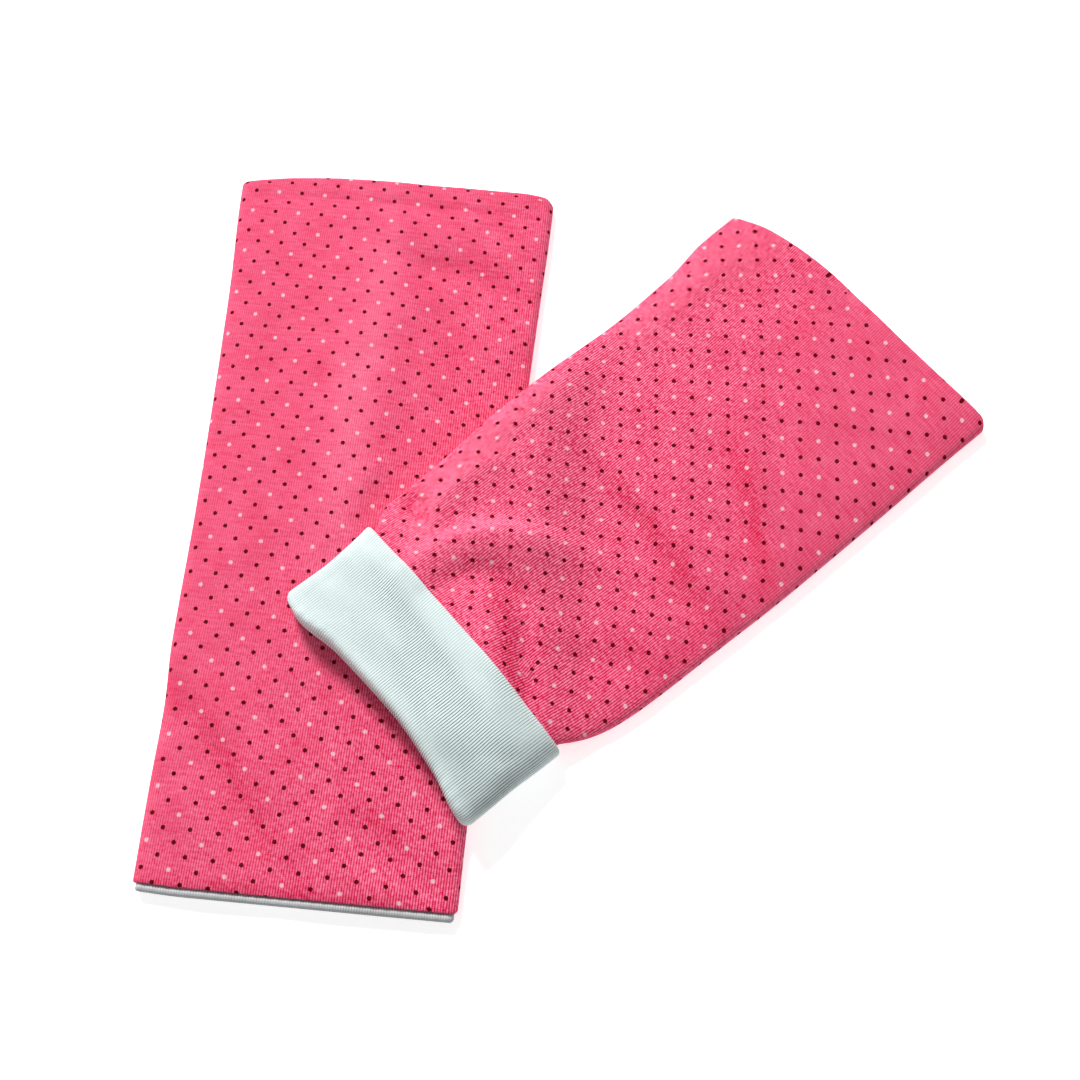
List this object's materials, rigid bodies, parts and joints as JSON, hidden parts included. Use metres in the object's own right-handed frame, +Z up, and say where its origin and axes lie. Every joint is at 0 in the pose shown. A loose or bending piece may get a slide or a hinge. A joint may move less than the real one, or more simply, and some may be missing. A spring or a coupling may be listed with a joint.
{
  "type": "pair of arm warmers",
  "caption": "Pair of lined, fingerless arm warmers laid flat, the upper lying across the lower with its wrist end turned up into a ribbed cuff.",
  "frame": {"origin": "middle of the pair's footprint, on the surface that it lies on", "axes": "+Z up from the surface, +Y away from the viewer, towards the elbow ends, +X to the viewer's right"},
  "size_m": [0.273, 0.2576, 0.0188],
  "materials": {
    "printed_jersey": "soft matt jersey, printed with small dots",
    "rib_lining": "matt fine rib"
  },
  "bodies": {
    "root": {"lower_shell": "printed_jersey", "lower_lining": "rib_lining", "upper_shell": "printed_jersey", "upper_lining": "rib_lining"}
  },
  "joints": []
}
